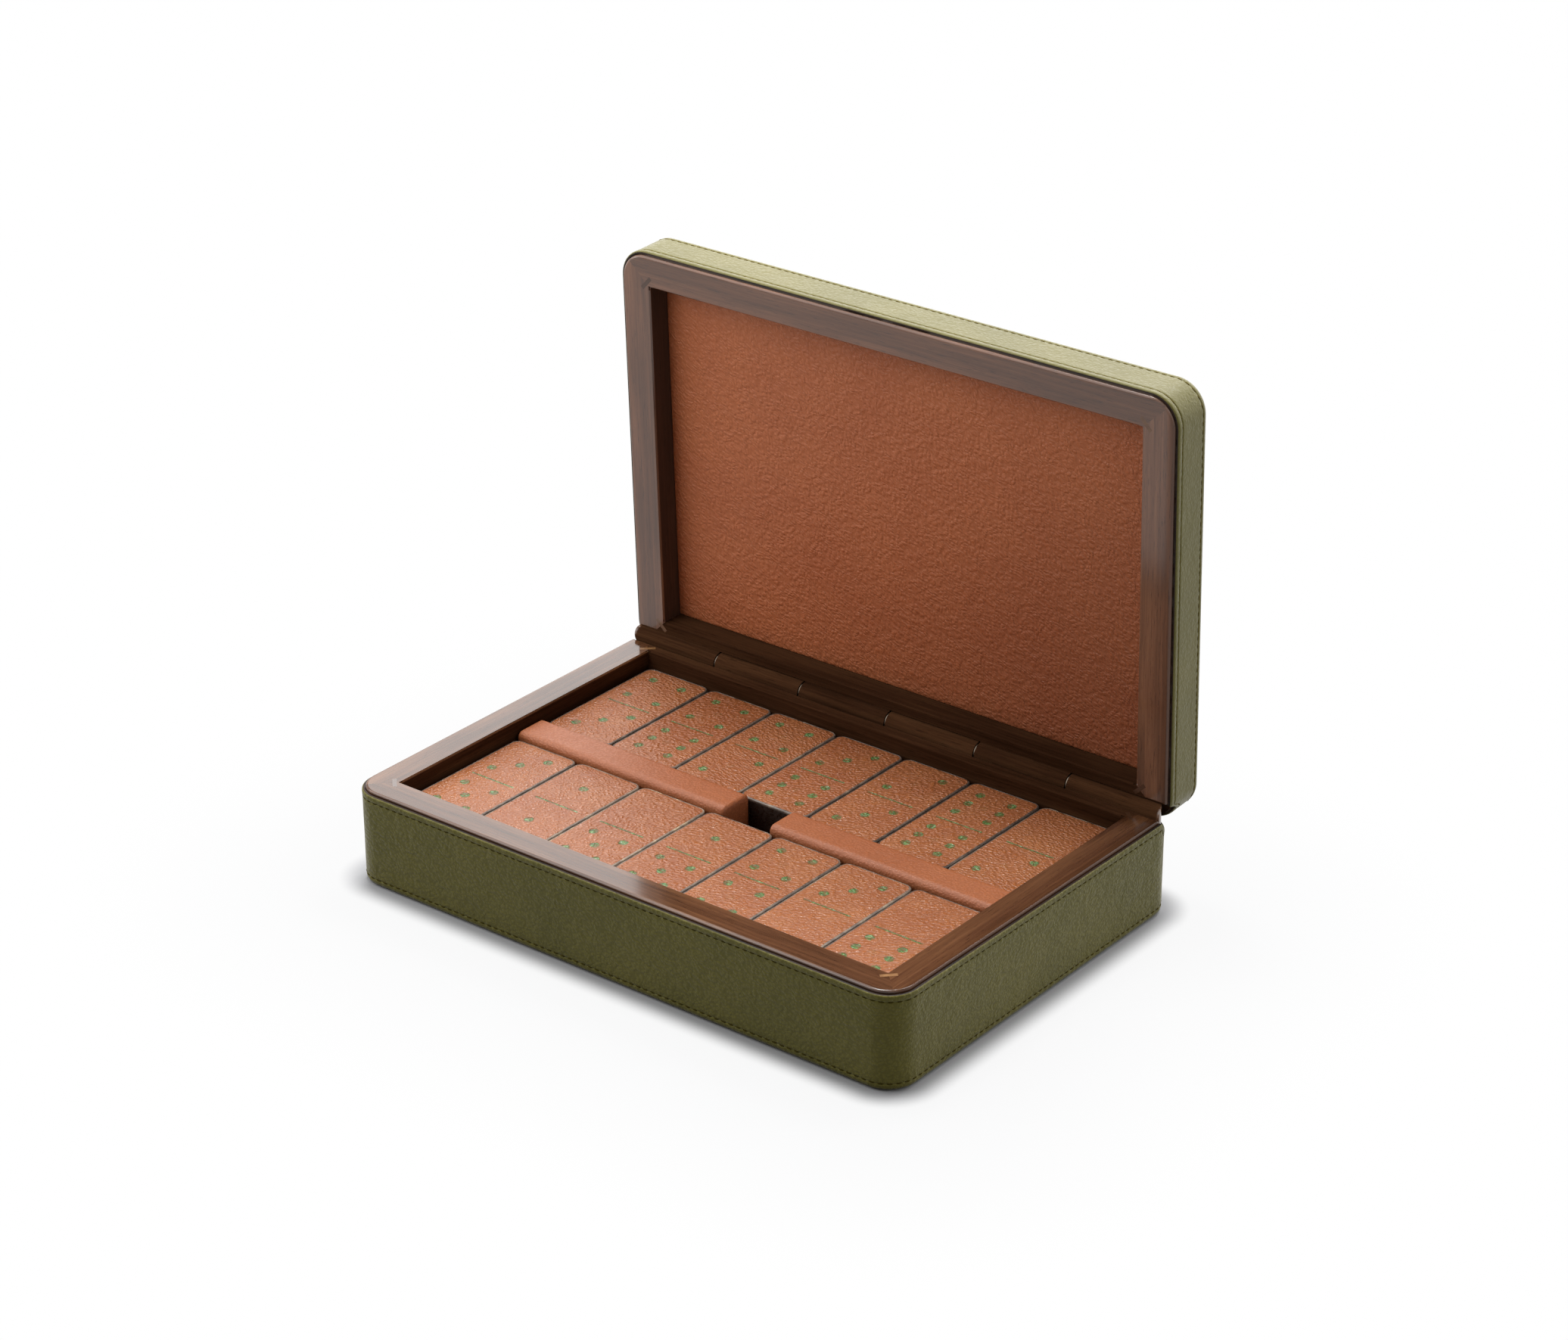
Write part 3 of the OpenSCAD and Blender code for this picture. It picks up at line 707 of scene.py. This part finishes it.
def stitches(name, curve, body, lid, pitch=2.6, length=1.9, radius=0.2):
    """A row of separate stitches along a closed curve of points and normals."""
    lengths = [0.0]
    n = len(curve)
    for i in range(n):
        lengths.append(lengths[-1] + (curve[(i + 1) % n][0] - curve[i][0]).length)
    count = round(lengths[-1] / pitch)
    rng = random.Random(STITCH_SEED)

    def place(s):
        s %= lengths[-1]
        lo, hi = 0, n
        while hi - lo > 1:
            m = (lo + hi) // 2
            lo, hi = (m, hi) if lengths[m] <= s else (lo, m)
        t = (s - lengths[lo]) / max(1e-9, lengths[lo + 1] - lengths[lo])
        a, b = curve[lo], curve[(lo + 1) % n]
        return a[0].lerp(b[0], t), a[1].lerp(b[1], t).normalized()

    verts, faces = [], []
    sides = 7
    for i in range(count):
        mid = (i + 0.5) * lengths[-1] / count
        half = length / 2 * rng.uniform(0.94, 1.04)
        slant = rng.uniform(-0.05, 0.05)
        base = len(verts)
        for u, fat, lift in STITCH_SHAPE:
            c, out = place(mid + u * half)
            a, _ = place(mid + u * half - 0.05)
            b, _ = place(mid + u * half + 0.05)
            run = (b - a).normalized()
            across = run.cross(out).normalized()
            c = c + out * lift + across * (u * slant)
            for j in range(sides):
                w = 2 * math.pi * j / sides
                q = c + (across * math.cos(w) + out * math.sin(w)) * radius * fat
                verts.append(tuple(q))
        for r in range(len(STITCH_SHAPE) - 1):
            for j in range(sides):
                k = (j + 1) % sides
                a, b = base + r * sides, base + (r + 1) * sides
                faces.append((a + j, b + j, b + k, a + k))
        faces.append(tuple(base + j for j in range(sides)))
        last = base + (len(STITCH_SHAPE) - 1) * sides
        faces.append(tuple(last + j for j in reversed(range(sides))))
    return piece(name, verts, faces, [MAT["lid_thread" if lid else "thread"]], body,
                 lid=lid)


# ---------------------------------------------------------------- tiles
def pip_places(count):
    """The pips of one half, in columns and rows from its middle."""
    places = [(0, 0)] if count % 2 else []
    if count >= 2:
        places += [(1, 1), (-1, -1)]
    if count >= 4:
        places += [(-1, 1), (1, -1)]
    if count == 6:
        places += [(-1, 0), (1, 0)]
    return places


# Mesh rings outside the top's grid, in millimetres, and the grid's cells
TILE_RINGS = [0.7, 1.3, 1.75, 2.05, 2.3]
GRID_X, GRID_Y = 27, 62


def domino(name, node, halves, centre, seed):
    """One domino: a grained top over a round rim, with sunk marks."""
    pips = []
    for side, count in ((1, halves[0]), (-1, halves[1])):
        pips += [(a * PIP_COLUMN, side * (PIP_FIRST + PIP_STEP) + b * PIP_STEP)
                 for a, b in pip_places(count)]
    ix, iy = TILE_W / 2 - TILE_R, TILE_L / 2 - TILE_R
    verts, faces = [], []

    def height(x, y, rim):
        """Top of the leather at rim millimetres inside the outline."""
        z = TILE_T - 0.16 * (1 - smooth((rim - 0.3) / 2.6))
        z += 0.05 * noise.noise(Vector((x * 0.35 + seed, y * 0.35, 3.0))) - 0.03
        for px, py in pips:
            r = math.hypot(x - px, y - py)
            if r < 2.4:
                z -= 0.13 * (1 - smooth((r - 1.2) / 0.9))
        if abs(x) < LINE_L / 2 + 0.5 and abs(y) < 1.0:
            z -= 0.08 * (1 - smooth((abs(y) - 0.2) / 0.7))
        return min(z, TILE_T)

    for j in range(GRID_Y + 1):
        for i in range(GRID_X + 1):
            x, y = -ix + 2 * ix * i / GRID_X, -iy + 2 * iy * j / GRID_Y
            rim = min(TILE_W / 2 - abs(x), TILE_L / 2 - abs(y))
            verts.append((x, y, height(x, y, rim)))
    for j in range(GRID_Y):
        for i in range(GRID_X):
            a = j * (GRID_X + 1) + i
            faces.append((a, a + 1, a + GRID_X + 2, a + GRID_X + 1))
    # the grid's border, walked counter-clockwise from its front left corner
    border = [(i, 0) for i in range(GRID_X)] + [(GRID_X, j) for j in range(GRID_Y)] + \
        [(GRID_X - i, GRID_Y) for i in range(GRID_X)] + [(0, GRID_Y - j) for j in range(GRID_Y)]
    arc = 6
    ring = []
    for i, j in border:
        index = j * (GRID_X + 1) + i
        x, y = -ix + 2 * ix * i / GRID_X, -iy + 2 * iy * j / GRID_Y
        on_x, on_y = i in (0, GRID_X), j in (0, GRID_Y)
        if on_x and on_y:
            start = {(0, 0): 180, (GRID_X, 0): 270, (GRID_X, GRID_Y): 0, (0, GRID_Y): 90}[(i, j)]
            for k in range(arc + 1):
                a = math.radians(start + 90 * k / arc)
                ring.append((index, x, y, math.cos(a), math.sin(a)))
        elif on_y:
            ring.append((index, x, y, 0.0, -1.0 if j == 0 else 1.0))
        else:
            ring.append((index, x, y, -1.0 if i == 0 else 1.0, 0.0))
    n = len(ring)
    profile = [(d, None) for d in TILE_RINGS]
    top_z = TILE_T - 0.17
    for k in range(6):
        a = math.radians(90 - 90 * k / 5)
        profile.append((TILE_R - TILE_EDGE + TILE_EDGE * math.cos(a),
                        top_z - TILE_EDGE + TILE_EDGE * math.sin(a)))
    for k in range(5):
        a = math.radians(-90 * k / 4)
        profile.append((TILE_R - TILE_EDGE + TILE_EDGE * math.cos(a),
                        TILE_EDGE + TILE_EDGE * math.sin(a)))
    rings = [[r[0] for r in ring]]
    for d, z in profile:
        row = []
        for index, x, y, nx, ny in ring:
            px, py = x + nx * d, y + ny * d
            row.append(len(verts))
            verts.append((px, py, height(px, py, TILE_R - d) if z is None else z))
        rings.append(row)
    for lower, upper in zip(rings, rings[1:]):
        for j in range(n):
            k = (j + 1) % n
            face = [lower[j], upper[j], upper[k], lower[k]]
            if face[0] == face[3]:
                face.pop()
            faces.append(tuple(face))
    foot = rings[-1]
    faces.append(tuple(reversed(foot)))
    rng = random.Random(seed)
    tone = (rng.uniform(-0.07, 0.07), rng.uniform(-0.12, 0.3), 0.0)
    cut = Matrix.Rotation(rng.uniform(-0.55, 0.55), 3, "Z")
    offset = Vector((1.0, 1.7, -0.6)) * rng.uniform(0, 2.0)
    skin = [(x * MM, y * MM, z * MM) for x, y, z in verts]
    grain = [tuple(cut @ Vector(p) + offset) for p in skin]
    numbers = (*halves, 0)
    cx, cy, cz = centre
    verts = [(x + cx, y + cy, z + cz) for x, y, z in verts]
    body = frame["nodes"][node]["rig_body"]
    return piece(name, verts, faces, [MAT["tile"]], body, [node],
                 attributes={"skin": skin, "grain": grain, "halves": [numbers] * len(verts),
                             "tone": [tone] * len(verts)})


def lower_tiles():
    """The dominoes of a double-six set that the upper rows leave."""
    upper = {tuple(sorted(t)) for t in REAR_ROW + FRONT_ROW}
    return [(a, b) for a in range(7) for b in range(a, 7) if (a, b) not in upper]


def all_tiles():
    """Both layers, each with its rear row first."""
    for level, tiles in (("high", REAR_ROW + FRONT_ROW), ("low", lower_tiles())):
        for i, halves in enumerate(tiles):
            row = "rear" if i < ROW_LENGTH else "front"
            a, b = sorted(halves)
            centre = (TILE_X0 + TILE_PITCH * (i % ROW_LENGTH), TILE_Y[row], TILE_Z[level])
            domino(f"domino_{a}_{b}", f"tile_{a}_{b}", halves, centre, 10 * a + b + 3)


# ---------------------------------------------------------------- blocks and pads
def rounded_block(name, lo, hi, radii, cells, mats, body, replaces, lid=False, dome=0.0,
                  sink=0.0):
    """A block with elliptic rounded edges, from a gridded box. dome swells the
    face at +Z, and sink is a shallow valley a little inside its border."""
    size = [hi[i] - lo[i] for i in range(3)]
    verts, index, faces = [], {}, []

    def vertex(u):
        key = tuple(u)
        if key in index:
            return index[key]
        p = []
        for i in range(3):
            # grid lines crowd towards the edges
            t = u[i] / cells[i]
            p.append(0.5 - 0.5 * math.cos(math.pi * t) if cells[i] > 3 else t)
        half = [s / 2 for s in size]
        q = [(2 * p[i] - 1) * half[i] for i in range(3)]
        core = [max(-half[i] + radii[i], min(half[i] - radii[i], q[i])) for i in range(3)]
        d = [(q[i] - core[i]) / radii[i] for i in range(3)]
        length = math.sqrt(sum(c * c for c in d))
        if length > 0:
            m = max(abs(c) for c in d)
            d = [c / length * m for c in d]
        r = [core[i] + d[i] * radii[i] for i in range(3)]
        if u[2] == cells[2] and (dome or sink):
            e = min(half[0] - abs(r[0]), half[1] - abs(r[1]))
            r[2] += dome * (smooth(e / 9) - 1) - sink * bump_at(e, 2.6, 0.5)
        verts.append(tuple(lo[i] + half[i] + r[i] for i in range(3)))
        index[key] = len(verts) - 1
        return index[key]

    for axis in range(3):
        b, c = (axis + 1) % 3, (axis + 2) % 3
        for end in (0, cells[axis]):
            for i in range(cells[b]):
                for j in range(cells[c]):
                    quad = []
                    for di, dj in ((0, 0), (1, 0), (1, 1), (0, 1)):
                        u = [0, 0, 0]
                        u[axis], u[b], u[c] = end, i + di, j + dj
                        quad.append(vertex(u))
                    faces.append(tuple(quad if end else reversed(quad)))
    return piece(name, verts, faces, mats, body, replaces, lid=lid)


def bars():
    """The two leather-wrapped bars of the divider."""
    for side, word in ((-1, "left"), (1, "right")):
        x = side * BAR_X
        rounded_block(f"bar_{word}", (x - BAR_L / 2, BAR_Y - BAR_W / 2, FLOOR_Z),
                      (x + BAR_L / 2, BAR_Y + BAR_W / 2, BAR_TOP), (1.1, 2.2, 2.2), (60, 26, 22),
                      [MAT["bar"]], "base", [f"divider_{word}_wrap"])


def linings():
    """The leather on the base's bottom board and inside the lid."""
    lo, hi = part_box("base_lining")
    lo, hi = [c / MM for c in lo], [c / MM for c in hi]
    rounded_block("base_pad", lo, hi, (0.5, 0.5, 0.5), (60, 40, 4), [MAT["pad"]], "base",
                  ["base_lining"])
    z = BASE_H + LID_RECESS
    x = BOX_W / 2 - LID_SIDE_W
    rounded_block("lid_pad", (-x, -BOX_D / 2 + LID_FRONT_W, z),
                  (x, BOX_D / 2 - LID_REAR_W, z + LINING), (0.6, 0.6, 0.55), (70, 50, 4),
                  [MAT["lid_pad"]], "lid", ["lid_lining"], lid=True)


# ---------------------------------------------------------------- build
MAT = {
    "base_x": walnut("walnut_base_x", "x"),
    "base_y": walnut("walnut_base_y", "y"),
    "lid_x": walnut("walnut_lid_x", "x", lid=True, gloss_and_painted_light=0.4),
    "lid_rear": walnut("walnut_lid_rear", "x", lid=True),
    "lid_y": walnut("walnut_lid_y", "y", lid=True, gloss_and_painted_light=0.4),
    "board": walnut("walnut_board", "x", dark=True),
    "maple": maple("maple_base", "#6a482a", "#8c6841"),
    "lid_maple": maple("maple_lid", "#52341f", "#6b4a2c", lid=True),
    "olive": olive("olive_base", ("#524d14", "#585217", "#5f581c"), 0.13, 0.0002, 0.27),
    # the lid's leather is the base's olive painted lighter and greyer: painted light for the
    # brightly lit lid
    "lid_olive": olive("olive_lid", ("#575121", "#5d5726", "#645d2c"), 0.31, 0.00008, 0.04,
                       lid=True),
    "tile": tile_skin("tile_leather"),
    "bar": plain_leather("bar_leather", "#8f502c", "#955531", "#9c5c36", size=0.0006,
                         depth=0.00014, rough=0.46),
    # the base's lining is painted dark brown: painted shade in the deep well
    "pad": plain_leather("pad_leather", "#35190f", "#452215", "#54291a"),
    "lid_pad": plain_leather("lid_pad_leather", "#9f5732", "#a45c36", "#ab623a", lid=True,
                             size=0.00085, depth=0.00036, rough=0.5, waves=1.3,
                             lengths=(1.8, 1, 1), turn=(0, 0, 0.64), drift=0.45, painted_shade=0.5,
                             valley=0.16),
    "edge": edge_paint("edge_dark", "#1b130d"),
    "thread": thread("thread_base", "#4a4119"),
    # the lid's thread is the base's thread painted lighter: painted light
    "lid_thread": thread("thread_lid", "#6f6234"),
    "metal": metal("hinge_metal"),
}

NODE_MATERIALS = {
    "base_front_rail": "base_x", "base_rear_rail": "base_x", "base_left_rail": "base_y",
    "base_right_rail": "base_y", "base_corner_splines": "maple", "base_bottom_board": "board",
    "divider_left_core": "board", "divider_right_core": "board", "hinge_pin": "metal",
    "hinge_washers": "metal", "lid_front_rail": "lid_x", "lid_rear_rail": "lid_rear",
    "lid_left_rail": "lid_y", "lid_right_rail": "lid_y", "lid_corner_splines": "lid_maple",
    "lid_top_board": "board",
}

for node, key in NODE_MATERIALS.items():
    mesh = frame["nodes"][node].data
    mesh.materials.clear()
    mesh.materials.append(MAT[key])

solved_camera()
leather_shell("base_leather", "base", -1, BASE_H - LIP_H, BASE_NOTCH, [MAT["olive"], MAT["edge"]],
              ["base_side_leather", "base_bottom_leather"])
leather_shell("lid_leather", "lid", 1, LID_T - LIP_H, LID_NOTCH, [MAT["lid_olive"], MAT["edge"]],
              ["lid_side_leather", "lid_top_leather"])
all_tiles()
bars()
linings()


# ---------------------------------------------------------------- studio
# Lamps: name, place and target in metres, width and height, power in watts
LAMPS = [
    ("key", (-0.3, 0.2, 1.1), (0, 0, 0.03), (0.3, 0.3), 9.5),
    ("top", (0.0, 0.7, 1.0), (0, 0.07, 0.15), (0.4, 0.4), 9),
    ("back", (-0.3, 1.5, 0.95), (0, 0, 0.05), (2.8, 1.6), 34),
    ("right", (0.75, 0.55, 0.45), (0.08, 0.05, 0.09), (1.4, 1.4), 8.5),
    ("left", (-0.31, -0.18, 0.39), (-0.08, 0.06, 0.15), (0.5, 0.5), 2.6),
]
# What the world and the floor's glow give to the object; seen, both are white
WORLD_LIGHT, FLOOR_GLOW = 0.2, 0.38
FLOOR_RADIUS, FLOOR_RINGS, FLOOR_SPOKES = 4.0, 24, 64


def area(name, place, target, size, power):
    """A soft rectangular lamp that faces its target."""
    lamp = bpy.data.lights.new(name, "AREA")
    lamp.shape = "RECTANGLE"
    lamp.size, lamp.size_y = size
    lamp.energy = power
    obj = bpy.data.objects.new(name, lamp)
    bpy.context.scene.collection.objects.link(obj)
    way = Vector(target) - Vector(place)
    turn = way.to_track_quat("-Z", "Y").to_matrix().to_4x4()
    obj.matrix_world = Matrix.Translation(place) @ turn


def shown_white(tree, lit, strength):
    """A colour's strength for camera, glossy and transmission rays, and lit for the rest."""
    path = tree.nodes.new("ShaderNodeLightPath")
    total = None
    for key in ("Is Camera Ray", "Is Glossy Ray", "Is Transmission Ray"):
        if total is None:
            total = path.outputs[key]
            continue
        add = tree.nodes.new("ShaderNodeMath")
        add.operation = "MAXIMUM"
        tree.links.new(total, add.inputs[0])
        tree.links.new(path.outputs[key], add.inputs[1])
        total = add.outputs[0]
    mix = tree.nodes.new("ShaderNodeMapRange")
    tree.links.new(total, mix.inputs[0])
    mix.inputs[3].default_value, mix.inputs[4].default_value = lit, strength
    return mix.outputs[0]


def studio():
    """The white world, the floor and the lamps."""
    world = bpy.data.worlds.new("studio")
    bpy.context.scene.world = world
    world.use_nodes = True
    back = world.node_tree.nodes["Background"]
    back.inputs[0].default_value = (1, 1, 1, 1)
    world.node_tree.links.new(shown_white(world.node_tree, WORLD_LIGHT, 1.0), back.inputs[1])

    radius, rings, spokes = FLOOR_RADIUS, FLOOR_RINGS, FLOOR_SPOKES
    verts, faces = [(0, 0, 0)], []
    for i in range(1, rings + 1):
        for j in range(spokes):
            a = 2 * math.pi * j / spokes
            r = radius * (i / rings) ** 2
            verts.append((r * math.cos(a), r * math.sin(a), 0))
    for j in range(spokes):
        faces.append((0, 1 + j, 1 + (j + 1) % spokes))
    for i in range(rings - 1):
        a, b = 1 + i * spokes, 1 + (i + 1) * spokes
        for j in range(spokes):
            k = (j + 1) % spokes
            faces.append((a + j, b + j, b + k, a + k))
    mesh = bpy.data.meshes.new("floor")
    mesh.from_pydata([(x, y, z - 0.00005) for x, y, z in verts], [], faces)
    floor = bpy.data.objects.new("floor", mesh)
    bpy.context.scene.collection.objects.link(floor)
    n = Nodes("floor")
    n.shader(Base_Color=(0.32, 0.32, 0.33, 1), Roughness=0.9, Specular_IOR_Level=0.0)
    glow = n.tree.nodes.new("ShaderNodeEmission")
    glow.inputs[0].default_value = (1, 1, 1, 1)
    n.link(shown_white(n.tree, FLOOR_GLOW, 1.0), glow.inputs[1])
    # the floor glows white away from the box and turns dark grey close round it: a painted shadow
    # that deepens the box's own shadow
    x, y, _ = n.separate(n.object_coord())
    away = []
    for c, half in ((x, BOX_W / 2 - CORNER_R), (y, BOX_D / 2 - CORNER_R)):
        away.append(n.math("MAXIMUM", n.math("SUBTRACT", n.math("ABSOLUTE", c), half * MM), 0.0))
    beyond = n.math("SUBTRACT", n.vmath("LENGTH", n.combine(*away, 0.0)), CORNER_R * MM)
    far = n.math("ADD", n.span(beyond, 0.0015, 0.0105, 0.0, 0.9),
                 n.span(beyond, 0.005, 0.1, 0.0, 0.1))
    blend = n.tree.nodes.new("ShaderNodeMixShader")
    n.link(far, blend.inputs[0])
    n.link(n.bsdf.outputs[0], blend.inputs[1])
    n.link(glow.outputs[0], blend.inputs[2])
    n.link(blend.outputs[0], n.out.inputs[0])
    mesh.materials.append(n.mat)

    for lamp in LAMPS:
        area(*lamp)


studio()
bpy.context.scene.view_settings.view_transform = "Standard"
